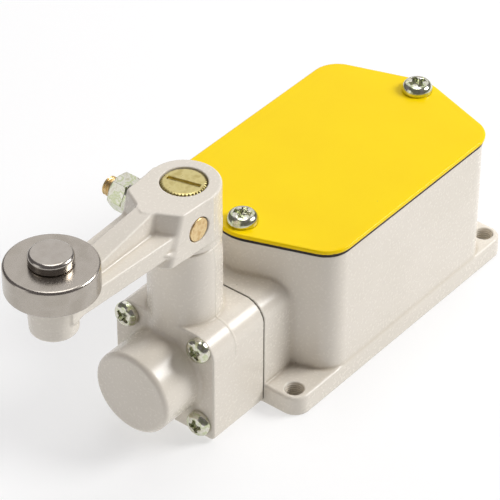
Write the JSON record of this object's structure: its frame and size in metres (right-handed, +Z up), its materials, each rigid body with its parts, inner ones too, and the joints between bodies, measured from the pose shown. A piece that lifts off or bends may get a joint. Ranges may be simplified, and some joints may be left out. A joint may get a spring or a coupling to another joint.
{
  "type": "limit switch",
  "caption": "Roller-lever limit switch: cast body with a screwed-on cover and a bolted operating head whose clamped lever swings both ways and drives a sliding contact set",
  "frame": {"origin": "centre of the mounting-hole rectangle, on the underside of the base", "axes": "+X from the roller towards the cable entry, +Z up from the mounting face to the cover"},
  "size_m": [0.1869, 0.0624, 0.0883],
  "materials": {
    "cast_paint": "warm light grey stoved enamel on die-cast alloy, satin",
    "yellow_enamel": "glossy yellow enamel on sheet steel",
    "gasket_rubber": "black rubber sheet, matt",
    "zinc_fasteners": "steel with yellow-green passivated zinc plate",
    "brass": "turned brass, satin",
    "ground_steel": "ground and oiled steel",
    "bronze": "sintered bronze",
    "spring_steel": "patented spring wire",
    "phenolic": "brown phenolic moulding",
    "contact_copper": "rolled copper strip"
  },
  "bodies": {
    "housing": {"body_housing": "cast_paint", "cover_gasket": "gasket_rubber", "cover_plate": "yellow_enamel", "cover_screws": "zinc_fasteners", "head_housing": "cast_paint", "head_gasket": "gasket_rubber", "head_screws": "zinc_fasteners", "upper_bush": "bronze", "lower_bush": "bronze", "shaft_seal": "gasket_rubber", "rod_bush": "bronze", "return_spring": "spring_steel", "counter_spring": "spring_steel", "contact_base": "phenolic", "contact_base_screws": "zinc_fasteners", "nc_contacts": "contact_copper", "no_contacts": "contact_copper", "terminal_clamps": "zinc_fasteners", "terminal_screws": "zinc_fasteners", "earth_screw": "zinc_fasteners"},
    "lever": {"lever_arm": "cast_paint", "lever_shaft": "brass", "clamp_bolt": "brass", "clamp_washer": "zinc_fasteners", "clamp_nut": "zinc_fasteners", "crank_disc": "ground_steel", "crank_pin": "ground_steel", "crank_cross_pin": "ground_steel", "thrust_washer": "bronze", "roller_pin": "ground_steel"},
    "roller": {"roller": "ground_steel", "roller_bush": "bronze"},
    "plunger": {"plunger": "ground_steel", "spring_seat": "brass", "carriage": "phenolic", "carriage_pin": "ground_steel", "contact_bridges": "contact_copper"}
  },
  "joints": [
    {"name": "lever_swing", "type": "hinge", "parent": "housing", "child": "lever", "pos_m": [-0.06615, 0, 0.062], "axis": [0, 0, 1], "range_deg": [-45, 45], "stiffness_Nm_per_rad": 0.25},
    {"name": "roller_spin", "type": "hinge", "parent": "lever", "child": "roller", "pos_m": [-0.12115, 0, 0.08], "axis": [0, 0, 1], "continuous": true},
    {"name": "plunger_slide", "type": "slide", "parent": "housing", "child": "plunger", "axis": [1, 0, 0], "range_m": [-0.0034, 0.0034], "deforming": ["return_spring", "counter_spring"]}
  ],
  "couplings": [
    {"joint": "plunger_slide", "follows": "lever_swing", "m_per_rad": -0.004185}
  ]
}
